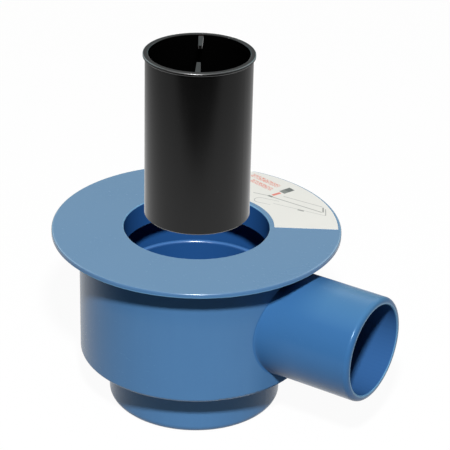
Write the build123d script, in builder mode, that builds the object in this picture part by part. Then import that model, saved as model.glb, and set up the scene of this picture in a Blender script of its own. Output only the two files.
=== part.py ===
from build123d import *
import os

# Floor drain with a lift-out dip tube, in millimetres.
# The origin is the centre of the opening, on the flange's top face.
# +Z is up, and the outlet spigot points along +X.

# Dip tube
tube_radius = 24.8
tube_wall = 1.9
tube_length = 80.1
tube_foot_chamfer = 0.4
tube_lift = 7.2
collar_step = 1.0
collar_height = 1.4
collar_edge_radius = 0.35
collar_under_chamfer = 0.25
rim_bore_step = 0.5
rim_bore_depth = 2.1
rim_lip_chamfer = 0.2

# Finger bars across the dip tube's mouth
finger_gap = 20.5
bar_root_width = 2.4
bar_tip_width = 1.8
bar_tip_radius = 0.6
bar_drop = 0.5
bar_angle = -58.0

# Flange and neck
opening_gap = 9.7
opening_edge_chamfer = 0.4
neck_depth = 12.6
neck_wall = 2.6
neck_root_chamfer = 1.0
neck_lip_chamfer = 0.5
flange_overhang = 13.0
flange_thickness = 2.1
flange_edge_radius = 0.7

# Water cup and its overflow rim, the weir
water_gap = 12.6
cup_wall = 4.1
cup_floor = 3.2
cup_edge_radius = 3.5
cup_corner_chamfer = 1.6
cup_shoulder_chamfer = 0.8
weir_depth = 27.2
weir_wall = 2.6
weir_root_wall = 3.2
seal_depth = 50.0

# Ribs on the cup's floor that carry and centre the dip tube's foot
rib_count = 4
rib_start_angle = 45.0
rib_thickness = 2.4
rib_seat_height = 9.1
rib_seat_length = 12.2
rib_shoulder_height = 5.0
rib_lead = 1.5
centring_clearance = 0.4

# Vessel round the cup
chamber_width = 11.9
chamber_corner_chamfer = 1.2
vessel_wall = 3.0
vessel_floor = 3.0
vessel_edge_radius = 1.6

# Outlet spigot, for 50 mm waste pipe
outlet_radius = 25.0
outlet_wall = 3.4
outlet_length = 42.9
outlet_cover = 8.1
outlet_rise = 3.8
outlet_draft_length = 3.5
outlet_draft_share = 0.018
outlet_edge_radius = 2.3
outlet_lip_chamfer = 0.4
seam_radius = 0.7

# Label on the flange
label_thickness = 0.15
label_inner_margin = 1.7
label_outer_margin = 2.1
label_offset = 1.0
label_start_angle = 31.0
label_end_angle = 124.0

# Radii that follow, from the dip tube outwards
tube_bore_radius = tube_radius - tube_wall
rim_bore_radius = tube_bore_radius + rim_bore_step
collar_radius = tube_radius + collar_step
centring_radius = tube_radius + centring_clearance
opening_radius = tube_radius + opening_gap
cup_bore_radius = tube_radius + water_gap
cup_radius = cup_bore_radius + cup_wall
weir_radius = cup_bore_radius + weir_wall
weir_root_radius = cup_bore_radius + weir_root_wall
chamber_radius = weir_root_radius + chamber_width
vessel_radius = chamber_radius + vessel_wall
flange_radius = vessel_radius + flange_overhang
label_inner_radius = opening_radius + label_inner_margin
label_outer_radius = flange_radius - label_outer_margin
outlet_bore_radius = outlet_radius - outlet_wall
outlet_reach = vessel_radius + outlet_length
outlet_draft_reach = vessel_radius + outlet_draft_length
outlet_draft_radius = outlet_radius + outlet_draft_share * outlet_draft_reach

# Levels that follow, from the flange's top face
tube_top_level = tube_lift + tube_length
collar_level = tube_top_level - collar_height
outlet_axis_level = -(flange_thickness + outlet_cover + outlet_radius)
vessel_level = outlet_axis_level - outlet_radius - outlet_rise
chamber_floor_level = vessel_level + vessel_floor
weir_round_level = -weir_depth - weir_wall / 2
seat_level = -(weir_depth + seal_depth)
shoulder_level = seat_level + rib_shoulder_height
cup_floor_level = seat_level - rib_seat_height
cup_level = cup_floor_level - cup_floor

os.makedirs("parts", exist_ok=True)


# Trap body: vessel, cup and outlet spigot in one moulding
with BuildPart() as trap_body:
    # Outer form, still solid
    with BuildSketch(Plane.XZ):
        with BuildLine():
            Polyline(
                (0, cup_level),
                (cup_radius, cup_level),
                (cup_radius, vessel_level),
                (vessel_radius, vessel_level),
                (vessel_radius, -flange_thickness),
                (0, -flange_thickness),
                close=True,
            )
        make_face()
        fillet(vertices().sort_by_distance((cup_radius, cup_level))[0], cup_edge_radius)
        chamfer(vertices().sort_by_distance((cup_radius, vessel_level))[0], cup_shoulder_chamfer)
        fillet(vertices().sort_by_distance((vessel_radius, vessel_level))[0], vessel_edge_radius)
    revolve(axis=Axis.Z)

    # Outlet spigot, its root drafted, with a small radius in the seam where it leaves the vessel
    with BuildSketch(Plane.XZ):
        with BuildLine():
            Polyline(
                (0, outlet_axis_level),
                (0, outlet_axis_level + outlet_draft_radius),
                (outlet_draft_reach, outlet_axis_level + outlet_radius),
                (outlet_reach, outlet_axis_level + outlet_radius),
                (outlet_reach, outlet_axis_level),
                close=True,
            )
        make_face()
        end_corner = (outlet_reach, outlet_axis_level + outlet_radius)
        fillet(vertices().sort_by_distance(end_corner)[0], outlet_edge_radius)
    revolve(axis=Axis((0, 0, outlet_axis_level), (1, 0, 0)))
    fillet(edges(Select.LAST).filter_by(GeomType.BSPLINE), seam_radius)

    # Ring chamber and cup bore, parted by the round-topped weir
    with BuildSketch(Plane.XZ):
        with BuildLine():
            Polyline(
                (cup_bore_radius, weir_round_level),
                (cup_bore_radius, cup_floor_level),
                (0, cup_floor_level),
                (0, -flange_thickness),
                (chamber_radius, -flange_thickness),
                (chamber_radius, chamber_floor_level),
                (weir_root_radius, chamber_floor_level),
                (weir_radius, weir_round_level),
            )
            ThreePointArc(
                (weir_radius, weir_round_level),
                (cup_bore_radius + weir_wall / 2, -weir_depth),
                (cup_bore_radius, weir_round_level),
            )
        make_face()
        chamfer(vertices().sort_by_distance((cup_bore_radius, cup_floor_level))[0], cup_corner_chamfer)
        for wall_radius in (weir_root_radius, chamber_radius):
            floor_corner = vertices().sort_by_distance((wall_radius, chamber_floor_level))[0]
            chamfer(floor_corner, chamber_corner_chamfer)
    revolve(axis=Axis.Z, mode=Mode.SUBTRACT)

    # Outlet bore, from the middle of the ring chamber to the mouth
    with BuildSketch(Plane.YZ.offset((weir_root_radius + chamber_radius) / 2)):
        with Locations((0, outlet_axis_level)):
            Circle(outlet_bore_radius)
    extrude(amount=outlet_reach, mode=Mode.SUBTRACT)
    mouth = edges().filter_by(GeomType.CIRCLE).sort_by(Axis.X)[-2:]
    chamfer(mouth.sort_by(SortBy.RADIUS)[0], outlet_lip_chamfer)

    # Stepped ribs under the dip tube: a low seat inside, a raised shoulder outside
    for turn in range(rib_count):
        heading = rib_start_angle + turn * 360 / rib_count
        with BuildSketch(Plane.XZ.rotated((0, 0, heading))):
            with BuildLine():
                Polyline(
                    (centring_radius - rib_seat_length, cup_floor_level - cup_floor / 2),
                    (centring_radius - rib_seat_length, seat_level),
                    (centring_radius, seat_level),
                    (centring_radius, shoulder_level - rib_lead),
                    (centring_radius + rib_lead, shoulder_level),
                    (cup_bore_radius + weir_wall / 2, shoulder_level),
                    (cup_bore_radius + weir_wall / 2, cup_floor_level - cup_floor / 2),
                    close=True,
                )
            make_face()
        extrude(amount=rib_thickness / 2, both=True)

trap_body.part.label = "trap_body"
export_step(trap_body.part, "parts/trap_body.step")


# Flange collar: the wide flange and its neck, closing the vessel's top
with BuildPart() as flange_collar:
    with BuildSketch(Plane.XZ):
        with BuildLine():
            Polyline(
                (opening_radius, 0),
                (flange_radius, 0),
                (flange_radius, -flange_thickness),
                (opening_radius + neck_wall, -flange_thickness),
                (opening_radius + neck_wall, -neck_depth),
                (opening_radius, -neck_depth),
                close=True,
            )
        make_face()
        neck_root = (opening_radius + neck_wall, -flange_thickness)
        fillet(vertices().sort_by_distance((flange_radius, 0))[0], flange_edge_radius)
        chamfer(vertices().sort_by_distance((opening_radius, 0))[0], opening_edge_chamfer)
        chamfer(vertices().sort_by_distance(neck_root)[0], neck_root_chamfer)
        chamfer(vertices().group_by(Axis.Y)[0], neck_lip_chamfer)
    revolve(axis=Axis.Z)

flange_collar.part.label = "flange_collar"
export_step(flange_collar.part, "parts/flange_collar.step")


# Dip tube: a plain tube with a thin collar and two finger bars across its mouth
with BuildPart() as dip_tube:
    with BuildSketch(Plane.XZ):
        with BuildLine():
            Polyline(
                (tube_bore_radius, tube_lift),
                (tube_radius, tube_lift),
                (tube_radius, collar_level),
                (collar_radius, collar_level),
                (collar_radius, tube_top_level),
                (rim_bore_radius, tube_top_level),
                (rim_bore_radius, tube_top_level - rim_bore_depth),
                (tube_bore_radius, tube_top_level - rim_bore_depth),
                close=True,
            )
        make_face()
        fillet(vertices().sort_by_distance((collar_radius, tube_top_level))[0], collar_edge_radius)
        chamfer(vertices().sort_by_distance((collar_radius, collar_level))[0], collar_under_chamfer)
        chamfer(vertices().sort_by_distance((rim_bore_radius, tube_top_level))[0], rim_lip_chamfer)
        chamfer(vertices().group_by(Axis.Y)[0], tube_foot_chamfer)
    revolve(axis=Axis.Z)

    # Bars on the step of the rim's bore, rooted in its wall and narrowing to a rounded tip
    bar_height = rim_bore_depth - bar_drop
    bar_tip = finger_gap / 2
    bar_root = (rim_bore_radius + tube_radius) / 2
    for heading in (bar_angle, bar_angle + 180):
        with BuildSketch(Plane.XY.offset(tube_top_level - bar_drop).rotated((0, 0, heading))):
            with BuildLine():
                Polyline(
                    (bar_tip, bar_tip_width / 2),
                    (bar_tip, -bar_tip_width / 2),
                    (bar_root, -bar_root_width / 2),
                    (bar_root, bar_root_width / 2),
                    close=True,
                )
            make_face()
            fillet(vertices().group_by(Axis.X)[0], bar_tip_radius)
        extrude(amount=-bar_height)

dip_tube.part.label = "dip_tube"
export_step(dip_tube.part, "parts/dip_tube.step")


# Label: a thin ring sector stuck to the flange, a little off its centre
with BuildPart() as flange_label:
    with BuildSketch():
        with BuildLine():
            label_centre = (0, label_offset)
            span = label_end_angle - label_start_angle
            outer_arc = CenterArc(label_centre, label_outer_radius, label_start_angle, span)
            inner_arc = CenterArc(label_centre, label_inner_radius, label_start_angle, span)
            Line(outer_arc @ 0, inner_arc @ 0)
            Line(outer_arc @ 1, inner_arc @ 1)
        make_face()
    extrude(amount=label_thickness)

flange_label.part.label = "flange_label"
export_step(flange_label.part, "parts/flange_label.step")
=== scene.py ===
import bpy
import math
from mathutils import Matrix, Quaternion, Vector


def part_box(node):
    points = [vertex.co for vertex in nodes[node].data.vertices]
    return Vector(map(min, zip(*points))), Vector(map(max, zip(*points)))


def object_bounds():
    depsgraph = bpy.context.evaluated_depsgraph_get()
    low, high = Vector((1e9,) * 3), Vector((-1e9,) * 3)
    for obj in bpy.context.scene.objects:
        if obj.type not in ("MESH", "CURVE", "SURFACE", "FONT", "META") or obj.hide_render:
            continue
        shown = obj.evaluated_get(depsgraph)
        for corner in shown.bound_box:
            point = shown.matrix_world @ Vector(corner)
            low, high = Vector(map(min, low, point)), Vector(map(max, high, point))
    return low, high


# Looks of the floor drain: moulded blue plastic, a black dip tube and a printed label.
# Lengths are metres, and millimetres where a name ends in _mm. Angles are degrees.
# In millimetres, a pair is a soft edge's middle and width, a span's two ends or a point of the print.

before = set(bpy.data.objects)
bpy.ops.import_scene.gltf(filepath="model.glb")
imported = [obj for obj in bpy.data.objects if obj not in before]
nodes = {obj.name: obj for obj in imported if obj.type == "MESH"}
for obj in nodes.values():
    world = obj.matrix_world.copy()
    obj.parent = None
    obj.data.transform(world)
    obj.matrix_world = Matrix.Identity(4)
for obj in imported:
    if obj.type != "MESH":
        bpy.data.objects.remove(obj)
cad_low, cad_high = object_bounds()
millimetre = 0.001

# Camera
camera_azimuth = 32.675
camera_elevation = 26.433
camera_roll = 1.336
camera_distance = 0.85797
camera_lens_mm = 154.902
camera_sight = 50.0
camera_aim = Vector((0.03915, -0.03624, 0.02617))

# Lamps: one for the drain, one for the dip tube, and a low one that lifts the back from the dark
lamp_distance = 0.80
drain_lamp = {"azimuth": camera_azimuth + 2.0, "elevation": 41.7, "width": 0.065, "strength": 4.3}
tube_lamp = {"azimuth": camera_azimuth + 7.0, "elevation": 54.0, "width": 0.18, "strength": 4.3}
back_lamp = {"azimuth": camera_azimuth + 180.0, "elevation": -4.5, "width": 0.10, "strength": 1.8}

# Fill in diffuse light, from above and from below
sky_strength = 0.20
ground_strength = 0.02

# What gloss sees: a dark room in front, a backdrop behind with a dimmer foot, and a ceiling
room_strength = 0.03
backdrop_strength = 2.2
backdrop_blue = (0.85, 0.98, 1.0, 1)
low_backdrop_strength = 0.75
low_backdrop_blue = (0.60, 0.95, 1.0, 1)
ceiling_strength = 0.8
backdrop_side_foot = -0.21875
backdrop_side_rise = 0.625
backdrop_foot = 0.33
backdrop_rise = 0.09
ceiling_foot = 0.60
ceiling_rise = 0.25

# Floor, which turns dark in gloss with distance so that the pieces don't mirror a white plain
floor_front = 0.32
floor_reach = 4.0
floor_grey = 0.90
floor_tooth = 0.01
floor_tooth_mm = 1.2
floor_bounce_grey = 0.22
floor_shadow_share = 0.045
floor_gloss_near_mm = 235.0
floor_gloss_fade_mm = 215.0
floor_gloss_loss = 0.52
floor_gloss_grey = 0.01

# Blues of the drain, as linear light
blue_resin = (0.062, 0.164, 0.334, 1)
blue_resin_pale = (0.068, 0.178, 0.356, 1)
blue_outlet = (0.037, 0.132, 0.310, 1)
# Painted sheen: the outlet's top is painted paler to stand for reflected light.
blue_outlet_top_painted_sheen = (0.058, 0.175, 0.345, 1)
# Painted shadow: a near-black blue where the flange shades the outlet's root.
blue_nook_painted_shadow = (0.006, 0.020, 0.052, 1)
# Painted sheen: the flange's top face is painted greyer to stand for reflected light.
blue_top_painted_sheen = (0.0755, 0.178, 0.323, 1)
# Painted shade: inner faces of the neck, vessel and cup are painted a deeper blue.
blue_inside_painted_shade = (0.014, 0.070, 0.225, 1)
# Painted shade: the outlet's bore is painted a deeper blue.
blue_bore_painted_shade = (0.023, 0.075, 0.220, 1)
# Painted highlight: a pale blue line on the flange's lower edge, the neck's rim and the outlet's end.
blue_painted_highlight = (0.17, 0.38, 0.58, 1)
# Painted highlight: a paler line along the weir's crest.
blue_crest_painted_highlight = (0.038, 0.130, 0.340, 1)
blue_gloss = (0.45, 0.65, 0.80, 1)

# Blacks of the dip tube, and the dust on every plastic, whose grey also paints a highlight along the tube's
# foot
black_resin = (0.0024, 0.0024, 0.0024, 1)
# Painted shade: the tube's bore wall is painted blacker than the resin.
bore_black_painted_shade = (0.0008, 0.0008, 0.0008, 1)
# Painted sheen: a warm grey that stands for reflected light on the tube's top faces.
top_painted_sheen = (0.024, 0.016, 0.0145, 1)
# Grey of the dust, also used as the painted highlight along the tube's foot.
dust_and_foot_highlight = (0.42, 0.43, 0.44, 1)

# Film and inks of the label
paper_white = (0.775, 0.755, 0.70, 1)
paper_shade = (0.735, 0.72, 0.675, 1)
print_red = (0.68, 0.17, 0.12, 1)
print_pale_red = (0.70, 0.24, 0.18, 1)
print_dark = (0.085, 0.085, 0.075, 1)
print_grey = (0.17, 0.17, 0.15, 1)
print_line = (0.30, 0.29, 0.27, 1)

# Patterns in the plastics and the film: clouds, flow streaks, scuffs, and painted highlight lines on edges
# and along the tube's foot
blue_cloud_mm = 45.0
blue_cloud_contrast = 1.6
blue_streak_mm = 4.5
blue_streak_contrast = 0.7
blue_streak_stretch = (1.0, 1.0, 0.12)
scuff_mm = 0.8
scuff_stretch = (0.25, 1.0, 1.0)
scuff_foot = 0.60
scuff_rise = 1 / 6
blue_highlight_cover = 0.35
blue_highlight_streak_cover = 0.5
black_cloud_mm = 22.0
black_streak_mm = 3.0
black_streak_stretch = (1.0, 1.0, 0.06)
black_highlight_cover = 0.24
black_highlight_streak_cover = 0.60
film_cloud_mm = 12.0
pale_print_mm = 0.8
pale_print_foot = 0.40
pale_print_rise = 0.20

# Dust: the spacing and size of its specks, the share of places that hold one, and how it covers
blue_dust = {"spacing_mm": 7.5, "size_mm": 0.30, "share": 0.04}
blue_dust_cover = 0.10
black_dust = {"spacing_mm": 5.0, "size_mm": 0.42, "share": 0.16}
black_fine_dust = {"spacing_mm": 1.7, "size_mm": 0.16, "share": 0.12}
black_fine_dust_share = 0.6
black_dust_cover = 0.30
speck_edge_share = 0.3

# Roughness of each finish, and what the clouds, scuffs and dust add to it
blue_roughness = 0.26
blue_roughness_spread = 0.06
blue_scuff_roughness = 0.03
blue_dust_roughness = 0.20
blue_matt_roughness = 0.60
black_roughness = 0.19
black_roughness_spread = 0.05
black_top_roughness = 0.32
black_dust_roughness = 0.25
black_matt_roughness = 0.70
label_roughness = 0.42
label_roughness_spread = 0.08

# Gloss of each finish, and of the polish on its rounded edges; an index of 1 has no gloss
blue_gloss_index = 1.38
blue_polish_index = 1.6
blue_polish_roughness = 0.24
black_gloss_index = 1.41
black_polish_index = 2.0
black_polish_roughness = 0.35
label_gloss_index = 1.45
no_gloss_index = 1.0

# Grain of the moulds and the film
mould_grain_mm = 0.6
mould_wave_mm = 16.0
mould_wave_height_mm = 0.006
blue_grain_height_mm = 0.0013
black_grain_height_mm = 0.0018
blue_edge_radius_mm = 0.25
black_edge_radius_mm = 0.10
fibre_mm = 0.25
fibre_height_mm = 0.003
crease_mm = 9.0
crease_height_mm = 0.05

# Print on the label, as bars from one point to another on the flange's plan
printed_bars_mm = {
    "upper red bar": ((-9.0, 63.0), (9.2, 59.0), 3.4, print_pale_red),
    "lower red bar": ((-6.0, 57.4), (8.3, 54.0), 3.2, print_pale_red),
    "block foot": ((13.9, 54.0), (14.8, 57.2), 3.9, print_grey),
    "block head": ((14.8, 56.9), (15.9, 60.4), 3.9, print_dark),
    "red tick": ((11.8, 48.7), (13.6, 53.3), 1.7, print_red),
    "dark knot": ((10.3, 47.3), (12.9, 47.0), 1.3, print_grey),
    "left line": ((2.5, 45.9), (10.3, 47.2), 0.40, print_line),
    "long line": ((12.9, 47.0), (41.3, 46.3), 0.55, print_line),
    "upper line": ((16.9, 50.8), (38.4, 51.6), 0.34, print_line),
    "lower line": ((17.0, 41.2), (44.6, 44.2), 0.24, print_line),
    "end bracket": ((39.2, 51.1), (41.8, 46.7), 0.80, print_line),
    "end mark": ((41.0, 50.4), (44.6, 44.4), 0.40, print_line),
    "short bar": ((30.2, 42.2), (33.6, 42.5), 1.3, print_line),
    "loop foot": ((9.6, 38.0), (16.6, 39.1), 0.26, print_line),
    "loop head": ((9.6, 43.4), (18.1, 44.8), 0.26, print_line),
}
loop_centre_mm = (9.6, 40.7)
loop_radius_mm = 2.7
loop_line_mm = 0.28
print_softness_mm = 0.22

# Most tones on the drain meet over this width
tone_softness_mm = 0.3

# Flange collar: its top face painted greyer as a painted sheen of reflected light, its polished rounded
# edge, painted highlight lines along its lower edge and the neck's rim, and the neck's bore painted a
# deeper blue as painted shade
top_face_mm = -0.35
flange_round_mm = 67.8
flange_round_foot_mm = -0.8
flange_edge_mm = 68.1
flange_foot_mm = -1.8
neck_inside_mm = 35.0

# Body, inside: vessel, cup and outlet bore get a deeper blue as painted shade, the weir's crest a paler
# line as a painted highlight, and the weir's round is polished
vessel_inside_mm = 53.5
chamber_floor_mm = -64.0
cup_inside_mm = 39.0
bore_inside_mm = 21.62
bore_start_mm = 47.0
weir_round_span_mm = (37.3, 38.4)
weir_round_z_span_mm = (-28.4, -27.4)
weir_crest_span_mm = (37.3, 39.0)
weir_crest_z_span_mm = (-28.0, -27.0)

# Body, outside: the outlet's tones along its axis and up its side, with its top painted paler as a painted
# sheen, a painted shadow in the nook under the flange, and a painted highlight ring on its end
outlet_axis_mm = -35.2
outlet_root_mm = (48.0, 2.0)
outlet_outside_mm = (26.0, 0.5)
outlet_top_mm = (-15.0, 8.0)
outlet_top_sheen_mm = (70.0, 16.0)
outlet_end_mm = 98.0
lip_inside_mm = 22.05
lip_outside_mm = 22.7
# Painted shadow: where the outlet's root lies in the flange's shade, and how much of it is painted.
nook_reach_mm = (59.5, 4.0)
nook_foot_mm = (-14.5, 3.0)
nook_shadow_share = 0.8

# Body, outside: less gloss close under the flange and in the outlet's seam
flange_shade_mm = (74.0, 12.0)
flange_shade_foot_mm = (-22.0, 8.0)
flange_shade_start_mm = (-12.0, 24.0)
flange_shade_share = 0.95
seam_shade_mm = (66.0, 14.0)
seam_shade_start_mm = (50.0, 4.0)
seam_shade_share = 0.85

# Dip tube: its bore wall, its rim and finger bars, the collar's round, and the painted highlight along the
# foot
tube_low, tube_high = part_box("dip_tube")
tube_foot_mm = tube_low.z / millimetre
tube_rim_mm = tube_high.z / millimetre
bore_wall_span_mm = (22.4, 23.5)
bore_top_mm = tube_rim_mm - 0.22
rim_top_mm = tube_rim_mm - 0.20
finger_bar_mm = tube_rim_mm - 1.0
collar_round_mm = (25.42, 0.1)
collar_round_foot_mm = (tube_rim_mm - 0.42, 0.1)
upward_foot = 0.90
upward_rise = 1 / 15
# Painted sheen: shares of the top faces and of the rim that take the warm grey in place of gloss.
top_sheen_share = 0.35
rim_sheen_share = 0.15
painted_highlight_height_mm = 0.6


class Tap:
    """A socket's output as a number: an expression on it adds its Math nodes."""

    def __init__(self, recipe, socket):
        self.recipe = recipe
        self.socket = socket

    def __add__(self, other):
        return self.recipe.maths("ADD", self, other)

    def __sub__(self, other):
        return self.recipe.maths("SUBTRACT", self, other)

    def __rsub__(self, other):
        return self.recipe.maths("SUBTRACT", other, self)

    def __mul__(self, other):
        return self.recipe.maths("MULTIPLY", self, other)

    def __truediv__(self, other):
        return self.recipe.maths("DIVIDE", self, other)

    def __rtruediv__(self, other):
        return self.recipe.maths("DIVIDE", other, self)

    def __pow__(self, other):
        return self.recipe.maths("POWER", self, other)

    def __abs__(self):
        return self.recipe.maths("ABSOLUTE", self)

    def __gt__(self, other):
        return self.recipe.maths("GREATER_THAN", self, other)

    def __lt__(self, other):
        return self.recipe.maths("LESS_THAN", self, other)

    __radd__ = __add__
    __rmul__ = __mul__

    def within(self):
        """The number, held between 0 and 1."""
        return self.recipe.maths("MAXIMUM", self.recipe.maths("MINIMUM", self, 1.0), 0.0)

    def most(self, other):
        """The larger of the two."""
        return self.recipe.maths("MAXIMUM", self, other)

    def beside(self, out):
        """Another output of the node that this one comes from."""
        return Tap(self.recipe, self.recipe.find(self.socket.node.outputs, out))


class Recipe:
    """The nodes of one material, of a lamp or of the world."""

    def __init__(self, owner):
        owner.use_nodes = True
        self.owner = owner
        self.tree = owner.node_tree
        self.tree.nodes.clear()

    def add(self, kind, settings=None, sockets=None, out=0):
        """A node of this kind: first its settings, then the values or links of its sockets."""
        node = self.tree.nodes.new("ShaderNode" + kind)
        for name, value in (settings or {}).items():
            setattr(node, name, value)
        for name, value in (sockets or {}).items():
            socket = self.find(node.inputs, name)
            if isinstance(value, Tap):
                self.tree.links.new(value.socket, socket)
            else:
                socket.default_value = value
        return Tap(self, self.find(node.outputs, out)) if node.outputs else None

    def find(self, sockets, name):
        """A socket by its number, its identifier or its name."""
        if isinstance(name, int):
            return sockets[name]
        return next((s for s in sockets if s.identifier == name), None) or sockets[name]

    def maths(self, operation, *values):
        return self.add("Math", {"operation": operation}, dict(enumerate(values)))

    def blend(self, share, first, second):
        """A colour, from the first at share 0 to the second at share 1."""
        sockets = {"Factor_Float": share, "A_Color": first, "B_Color": second}
        return self.add("Mix", {"data_type": "RGBA"}, sockets, "Result_Color")

    def place_mm(self):
        """Where a point of the piece is, in millimetres."""
        metres = self.add("TexCoord", out="Object")
        return self.add("VectorMath", {"operation": "SCALE"}, {0: metres, "Scale": 1 / millimetre})

    def part_of(self, vector, axis):
        return self.add("SeparateXYZ", sockets={0: vector}, out="XYZ".index(axis))

    def stretched(self, vector, factors):
        return self.add("VectorMath", {"operation": "MULTIPLY"}, {0: vector, 1: factors})

    def noise(self, vector, size_mm, detail=2.0, roughness=0.5):
        """Noise from 0 to 1, with features about this large."""
        sockets = {"Vector": vector, "Scale": 1 / size_mm, "Detail": detail, "Roughness": roughness}
        return self.add("TexNoise", None, sockets, "Fac")

    def specks(self, vector, spacing_mm, size_mm, share):
        """Scattered round specks: about this share of the cells holds one."""
        sockets = {"Vector": vector, "Scale": 1 / spacing_mm}
        from_middle = self.add("TexVoronoi", None, sockets, "Distance")
        lots = from_middle.beside("Color")
        size = self.part_of(lots, "Y") * (size_mm / spacing_mm)
        inside = ((size - from_middle) * (spacing_mm / (speck_edge_share * size_mm))).within()
        return inside * (self.part_of(lots, "X") < share)

    def finish(self, sockets, other=None, share=0.0):
        """Ends a material in one surface, or in two that share it by a mask."""
        surface = self.add("BsdfPrincipled", None, sockets)
        if other:
            second = self.add("BsdfPrincipled", None, other)
            surface = self.add("MixShader", None, {0: share, 1: surface, 2: second})
        self.add("OutputMaterial", None, {"Surface": surface})
        return self.owner


def new_recipe(name):
    return Recipe(bpy.data.materials.new(name))


def below(value, limit, softness=tone_softness_mm):
    """1 where the value is under its limit, 0 where it is over it."""
    return ((limit - value) / softness + 0.5).within()


def above(value, limit, softness=tone_softness_mm):
    """1 where the value is over its limit, 0 where it is under it."""
    return ((value - limit) / softness + 0.5).within()


def between(value, limits):
    """1 where the value lies between its two limits."""
    return above(value, limits[0]) * below(value, limits[1])


def rising(value, foot, rise):
    """0 up to the foot, then a straight rise to 1."""
    return ((value - foot) / rise).within()


def moulded_normal(recipe, place, grain_height_mm, edge_radius_mm):
    """Fine mould grain and slow waviness, over edges softened by a small radius."""
    edge = recipe.add("Bevel", {"samples": 4}, {"Radius": edge_radius_mm * millimetre})
    grain = recipe.noise(place, mould_grain_mm, detail=3.0, roughness=0.6)
    wave = recipe.noise(place, mould_wave_mm, detail=1.0)
    height = grain * grain_height_mm + wave * mould_wave_height_mm
    sockets = {"Strength": 1.0, "Distance": millimetre, "Height": height, "Normal": edge}
    return recipe.add("Bump", None, sockets)


def collar_places(recipe, resin, x, y, z):
    """The collar's resin, place by place: a painted sheen on the top face and painted shade in the neck,
    and where it is matt, polished and painted with a highlight line.
    """
    radius = (x ** 2 + y ** 2) ** 0.5
    top = above(z, top_face_mm)
    neck = below(radius, neck_inside_mm)
    inside = neck * (1 - top)
    # Painted sheen: the top face gets a greyer blue in place of reflected light.
    resin = recipe.blend(top, resin, blue_top_painted_sheen)
    # Painted shade: the neck's bore gets the deeper blue.
    resin = recipe.blend(inside, resin, blue_inside_painted_shade)
    polished = above(radius, flange_round_mm) * above(z, flange_round_foot_mm)
    # Painted highlight: pale lines along the flange's lower edge and the neck's rim.
    lower_edge = below(z, flange_foot_mm) * above(radius, flange_edge_mm)
    return resin, inside, polished, lower_edge.most(neck * top)


def body_places(recipe, resin, x, y, z):
    """The body's resin, place by place: painted shade inside and a painted highlight on the weir's crest,
    and where it is matt, polished and painted with a highlight line.
    """
    radius = (x ** 2 + y ** 2) ** 0.5
    from_axis = (y ** 2 + (z - outlet_axis_mm) ** 2) ** 0.5
    resin = outlet_resin(recipe, resin, x, z, radius, from_axis)
    bore = below(from_axis, bore_inside_mm) * above(x, bore_start_mm)
    vessel = below(radius, vessel_inside_mm) * above(z, chamber_floor_mm)
    inside = vessel.most(below(radius, cup_inside_mm))
    crest = between(radius, weir_crest_span_mm) * between(z, weir_crest_z_span_mm)
    # Painted shade: the outlet's bore and the inside of vessel and cup get deeper blues.
    resin = recipe.blend(bore, resin, blue_bore_painted_shade)
    resin = recipe.blend(inside, resin, blue_inside_painted_shade)
    # Painted highlight: the weir's crest gets a paler line.
    resin = recipe.blend(crest, resin, blue_crest_painted_highlight)
    polished = between(radius, weir_round_span_mm) * between(z, weir_round_z_span_mm)
    lip = below(from_axis, lip_inside_mm) * above(x, bore_start_mm)
    shade = below(radius, *flange_shade_mm) * above(z, *flange_shade_foot_mm)
    shade = shade * above(x, *flange_shade_start_mm) * flange_shade_share
    seam = below(radius, *seam_shade_mm) * above(x, *seam_shade_start_mm) * seam_shade_share
    matt = inside.most(lip).most(shade).most(seam) * (1 - polished)
    # Painted highlight: a pale ring on the outlet's end.
    painted_highlight = above(x, outlet_end_mm) * below(from_axis, lip_outside_mm) * (1 - bore)
    return resin, matt, polished, painted_highlight


def outlet_resin(recipe, resin, x, z, radius, from_axis):
    """The outlet's blues: paler along its top as a painted sheen, and a painted shadow in the nook under
    the flange.
    """
    outlet = above(x, *outlet_root_mm) * below(from_axis, *outlet_outside_mm)
    # Painted sheen: the outlet's top, beyond the flange, is painted paler.
    on_top = above(z, *outlet_top_mm) * above(x, *outlet_top_sheen_mm)
    # Painted shadow: the nook under the flange is painted nearly black.
    nook_shadow = below(radius, *nook_reach_mm) * above(z, *nook_foot_mm) * outlet
    resin = recipe.blend(outlet, resin, recipe.blend(on_top, blue_outlet, blue_outlet_top_painted_sheen))
    return recipe.blend(nook_shadow * nook_shadow_share, resin, blue_nook_painted_shadow)


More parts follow.
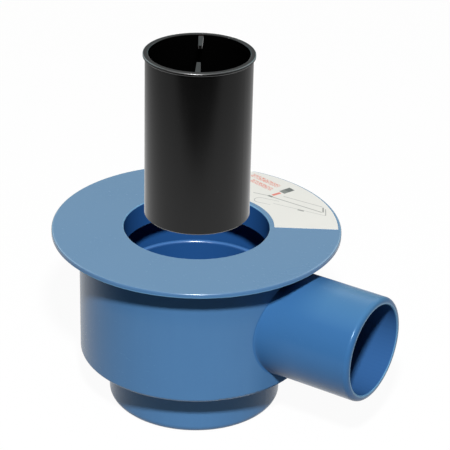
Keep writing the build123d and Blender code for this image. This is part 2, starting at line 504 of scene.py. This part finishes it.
def blue_plastic(name, places):
    """Satin blue resin: faint clouds and flow streaks, fine grain, a little dust, and painted highlight
    lines on some edges.
    """
    recipe = new_recipe(name)
    place = recipe.place_mm()
    x, y, z = (recipe.part_of(place, axis) for axis in "XYZ")
    cloud = recipe.noise(place, blue_cloud_mm)
    streak = recipe.noise(recipe.stretched(place, blue_streak_stretch), blue_streak_mm)
    tone = (cloud - 0.5) * blue_cloud_contrast + (streak - 0.5) * blue_streak_contrast + 0.5
    resin = recipe.blend(tone.within(), blue_resin, blue_resin_pale)
    resin, matt, polished, painted_highlight = places(recipe, resin, x, y, z)
    # Painted highlight: the pale line, broken by the flow streaks.
    painted_highlight = painted_highlight * (blue_highlight_cover + streak * blue_highlight_streak_cover)
    resin = recipe.blend(painted_highlight, resin, blue_painted_highlight)
    dusty = recipe.specks(place, **blue_dust)
    scuff = recipe.noise(recipe.stretched(place, scuff_stretch), scuff_mm, detail=3.0, roughness=0.65)
    scuff = rising(scuff, scuff_foot, scuff_rise)
    colour = recipe.blend(dusty * blue_dust_cover, resin, dust_and_foot_highlight)
    roughness = blue_roughness + (cloud - 0.5) * blue_roughness_spread
    roughness = roughness + scuff * blue_scuff_roughness + dusty * blue_dust_roughness
    normal = moulded_normal(recipe, place, blue_grain_height_mm, blue_edge_radius_mm)
    shiny = {
        "Base Color": colour,
        "Roughness": roughness,
        "IOR": blue_gloss_index,
        "Specular Tint": blue_gloss,
        "Coat Weight": polished,
        "Coat Roughness": blue_polish_roughness,
        "Coat IOR": blue_polish_index,
        "Normal": normal,
    }
    glossless = {
        "Base Color": colour,
        "Roughness": blue_matt_roughness,
        "IOR": no_gloss_index,
        "Normal": normal,
    }
    return recipe.finish(shiny, glossless, matt)


def black_plastic():
    """Satin black resin: faint streaks along the tube, light specks of dust, and a painted highlight along
    the foot.
    """
    recipe = new_recipe("black moulded plastic")
    place = recipe.place_mm()
    x, y, z = (recipe.part_of(place, axis) for axis in "XYZ")
    radius = (x ** 2 + y ** 2) ** 0.5
    streak = recipe.noise(recipe.stretched(place, black_streak_stretch), black_streak_mm, detail=3.0)
    cloud = recipe.noise(place, black_cloud_mm)
    dusty = recipe.specks(place, **black_dust)
    fine_dust = recipe.specks(place, **black_fine_dust)
    specks = dusty.most(fine_dust * black_fine_dust_share)
    # Painted highlight: a pale band along the foot, broken by the flow streaks.
    painted_highlight = (1 - (z - tube_foot_mm) / painted_highlight_height_mm).within()
    painted_highlight = painted_highlight * (black_highlight_cover + streak * black_highlight_streak_cover)
    colour = recipe.blend((specks * black_dust_cover).most(painted_highlight), black_resin, dust_and_foot_highlight)
    upward = recipe.part_of(recipe.add("NewGeometry", out="Normal"), "Z")
    top = rising(upward, upward_foot, upward_rise)
    roughness = top * black_top_roughness + black_roughness
    roughness = roughness + (streak - 0.5) * black_roughness_spread + (cloud - 0.5) * black_roughness_spread
    shiny = {
        "Base Color": colour,
        "Roughness": roughness + specks * black_dust_roughness,
        "IOR": black_gloss_index,
        "Coat Weight": above(radius, *collar_round_mm) * above(z, *collar_round_foot_mm),
        "Coat Roughness": black_polish_roughness,
        "Coat IOR": black_polish_index,
        "Normal": moulded_normal(recipe, place, black_grain_height_mm, black_edge_radius_mm),
    }
    # Painted shade: the bore wall below the rim is painted blacker and has no gloss.
    bore_wall = (radius > bore_wall_span_mm[0]) * (radius < bore_wall_span_mm[1]) * (z < bore_top_mm)
    on_bars = top * (z > finger_bar_mm)
    on_rim = top * (z > rim_top_mm)
    # Painted sheen: the top faces take part of the warm grey in place of their gloss.
    glossless = {
        "Base Color": recipe.blend(on_bars, bore_black_painted_shade, top_painted_sheen),
        "Roughness": black_matt_roughness,
        "IOR": no_gloss_index,
    }
    matt = bore_wall.most(top * top_sheen_share + on_rim * rim_sheen_share)
    return recipe.finish(shiny, glossless, matt)


def bar_mask(x, y, start, end, width):
    """1 on a straight bar of this width from start to end, 0 off it."""
    middle = [(a + b) / 2 for a, b in zip(start, end)]
    run, rise = end[0] - start[0], end[1] - start[1]
    length = math.hypot(run, rise)
    run, rise = run / length, rise / length
    along = (x - middle[0]) * run + (y - middle[1]) * rise
    across = (y - middle[1]) * run - (x - middle[0]) * rise
    in_length = below(abs(along), length / 2, print_softness_mm)
    return in_length * below(abs(across), width / 2, print_softness_mm)


def loop_mask(x, y):
    """1 on the half ring that closes two printed lines at their left end."""
    from_centre = ((x - loop_centre_mm[0]) ** 2 + (y - loop_centre_mm[1]) ** 2) ** 0.5
    ring = below(abs(from_centre - loop_radius_mm), loop_line_mm / 2, print_softness_mm)
    return ring * (x < loop_centre_mm[0])


def label_film():
    """Off-white film with a satin face, printed with plain bars and lines."""
    recipe = new_recipe("printed label film")
    place = recipe.place_mm()
    x = recipe.part_of(place, "X")
    y = recipe.part_of(place, "Y")
    colour = recipe.blend(recipe.noise(place, film_cloud_mm), paper_shade, paper_white)
    patchy = rising(recipe.noise(place, pale_print_mm, roughness=0.6), pale_print_foot, pale_print_rise)
    for start, end, width, ink in printed_bars_mm.values():
        mask = bar_mask(x, y, start, end, width)
        if ink == print_pale_red:
            mask = mask * patchy
        colour = recipe.blend(mask, colour, ink)
    colour = recipe.blend(loop_mask(x, y), colour, print_line)
    fibre = recipe.noise(place, fibre_mm, detail=3.0, roughness=0.6)
    crease = recipe.noise(place, crease_mm, detail=1.0)
    height = fibre * fibre_height_mm + crease * crease_height_mm
    return recipe.finish({
        "Base Color": colour,
        "Roughness": label_roughness + (fibre - 0.5) * label_roughness_spread,
        "IOR": label_gloss_index,
        "Normal": recipe.add("Bump", None, {"Strength": 1.0, "Distance": millimetre, "Height": height}),
    })


def seen_directly(recipe):
    """1 for rays of the camera, of gloss and of glass, 0 for diffuse light."""
    rays = ("Is Camera Ray", "Is Glossy Ray", "Is Transmission Ray")
    first, second, third = (recipe.add("LightPath", out=ray) for ray in rays)
    return first.most(second).most(third)


def floor_paper():
    """White paper: mostly its own white as seen, the rest carries the object's soft shadow."""
    recipe = new_recipe("white floor paper")
    place = recipe.place_mm()
    x, y = (recipe.part_of(place, axis) for axis in "XY")
    tooth = recipe.noise(place, floor_tooth_mm)
    grey = recipe.blend(tooth, plain_grey(floor_grey - floor_tooth), plain_grey(floor_grey + floor_tooth))
    bounced = recipe.add("LightPath", out="Is Diffuse Ray")
    grey = recipe.blend(bounced, grey, plain_grey(floor_bounce_grey))
    matt = recipe.add("BsdfDiffuse", None, {"Color": grey})
    white = recipe.add("Emission", None, {"Color": (1, 1, 1, 1), "Strength": 1.0})
    share = seen_directly(recipe) * (1 - floor_shadow_share)
    surface = recipe.add("MixShader", None, {0: share, 1: matt, 2: white})
    dark = recipe.add("BsdfDiffuse", None, {"Color": plain_grey(floor_gloss_grey)})
    distant = rising((x ** 2 + y ** 2) ** 0.5, floor_gloss_near_mm, floor_gloss_fade_mm)
    fading = distant * recipe.add("LightPath", out="Is Glossy Ray") * floor_gloss_loss
    surface = recipe.add("MixShader", None, {0: fading, 1: surface, 2: dark})
    recipe.add("OutputMaterial", None, {"Surface": surface})
    return recipe.owner


def plain_grey(level):
    return (level, level, level, 1)


def set_surroundings():
    """A world that is white as seen, gives a little fill, and shows gloss a backdrop and a dark room."""
    world = bpy.data.worlds.new("studio")
    bpy.context.scene.world = world
    recipe = Recipe(world)

    def glow(strength, colour=(1, 1, 1, 1)):
        return recipe.add("Background", None, {"Color": colour, "Strength": strength})

    def mixed(share, first, second):
        return recipe.add("MixShader", None, {0: share, 1: first, 2: second})

    direction = recipe.add("TexCoord", out="Generated")
    height = recipe.part_of(direction, "Z")
    sockets = {0: direction, 1: -away(camera_azimuth, 0)}
    depth = recipe.add("VectorMath", {"operation": "DOT_PRODUCT"}, sockets, "Value")
    low_backdrop = glow(low_backdrop_strength, low_backdrop_blue)
    backdrop = glow(backdrop_strength, backdrop_blue)
    backdrop = mixed(rising(height, backdrop_foot, backdrop_rise), low_backdrop, backdrop)
    behind = rising(depth, backdrop_side_foot, backdrop_side_rise)
    mirrored = mixed(behind, glow(room_strength), backdrop)
    mirrored = mixed(rising(height, ceiling_foot, ceiling_rise), mirrored, glow(ceiling_strength))
    fill = mixed(height.within(), glow(ground_strength), glow(sky_strength))
    seen = mixed(recipe.add("LightPath", out="Is Glossy Ray"), glow(1.0), mirrored)
    surface = mixed(seen_directly(recipe), fill, seen)
    recipe.add("OutputWorld", None, {"Surface": surface})


def hang_lamps(floor):
    """The drain and the dip tube have a lamp each, so that neither shades the other, as in the photo."""
    tube = [nodes["dip_tube"]]
    drain = [nodes[name] for name in nodes if name != "dip_tube"]
    hang_lamp("drain lamp", drain_lamp, drain + [floor], drain)
    hang_lamp("tube lamp", tube_lamp, tube, tube)
    hang_lamp("back lamp", back_lamp, tube + drain, tube + drain)


def hang_lamp(name, values, lit, casting):
    """A round softbox that lights these pieces evenly, with shadows from those."""
    lamp = bpy.data.objects.new(name, bpy.data.lights.new(name, "AREA"))
    lamp.data.shape = "DISK"
    lamp.data.size = values["width"]
    lamp.data.energy = math.pi * values["strength"]
    recipe = Recipe(lamp.data)
    even = recipe.add("LightFalloff", None, {"Strength": 1.0}, "Constant")
    glow = recipe.add("Emission", None, {"Strength": even})
    recipe.add("OutputLight", None, {"Surface": glow})
    towards = away(values["azimuth"], values["elevation"])
    lamp.rotation_mode = "QUATERNION"
    lamp.rotation_quaternion = towards.to_track_quat("Z", "Y")
    lamp.location = towards * lamp_distance
    bpy.context.scene.collection.objects.link(lamp)
    lamp.light_linking.receiver_collection = group(name + " lights", lit)
    lamp.light_linking.blocker_collection = group(name + " shadows", casting)


def group(name, pieces):
    collection = bpy.data.collections.new(name)
    for piece in pieces:
        collection.objects.link(piece)
    return collection


def away(azimuth, elevation):
    """The direction from the object to something at this azimuth and elevation."""
    turn, rise = math.radians(azimuth), math.radians(elevation)
    flat = math.cos(rise)
    return Vector((math.sin(turn) * flat, -math.cos(turn) * flat, math.sin(rise)))


def lay_floor():
    """A table top that ends a little in front of the object."""
    front = away(camera_azimuth, 0)
    side = Vector((-front.y, front.x, 0))
    level = Vector((0, 0, cad_low.z))
    corners = [
        level + front * floor_front - side * floor_reach,
        level + front * floor_front + side * floor_reach,
        level - front * floor_reach + side * floor_reach,
        level - front * floor_reach - side * floor_reach,
    ]
    mesh = bpy.data.meshes.new("floor")
    mesh.from_pydata(corners, [], [(0, 1, 2, 3)])
    mesh.materials.append(floor_paper())
    floor = bpy.data.objects.new("floor", mesh)
    bpy.context.scene.collection.objects.link(floor)
    return floor


def set_camera():
    data = bpy.data.cameras.new("camera")
    data.lens = camera_lens_mm
    data.clip_end = camera_sight
    back = away(camera_azimuth, camera_elevation)
    camera = bpy.data.objects.new("camera", data)
    camera.rotation_mode = "QUATERNION"
    roll = Quaternion((0, 0, 1), math.radians(camera_roll))
    camera.rotation_quaternion = back.to_track_quat("Z", "Y") @ roll
    camera.location = camera_aim + back * camera_distance
    bpy.context.scene.collection.objects.link(camera)
    bpy.context.scene.camera = camera


def dress(name, material):
    """The CAD node keeps its shape, gets this material and is left out of the others' gloss."""
    piece = nodes[name]
    piece.visible_glossy = False
    piece.data.materials.clear()
    piece.data.materials.append(material)


bpy.context.scene.view_settings.view_transform = "Standard"
set_camera()
set_surroundings()
hang_lamps(lay_floor())

dress("trap_body", blue_plastic("blue plastic of the body", body_places))
dress("flange_collar", blue_plastic("blue plastic of the collar", collar_places))
dress("dip_tube", black_plastic())
dress("flange_label", label_film())
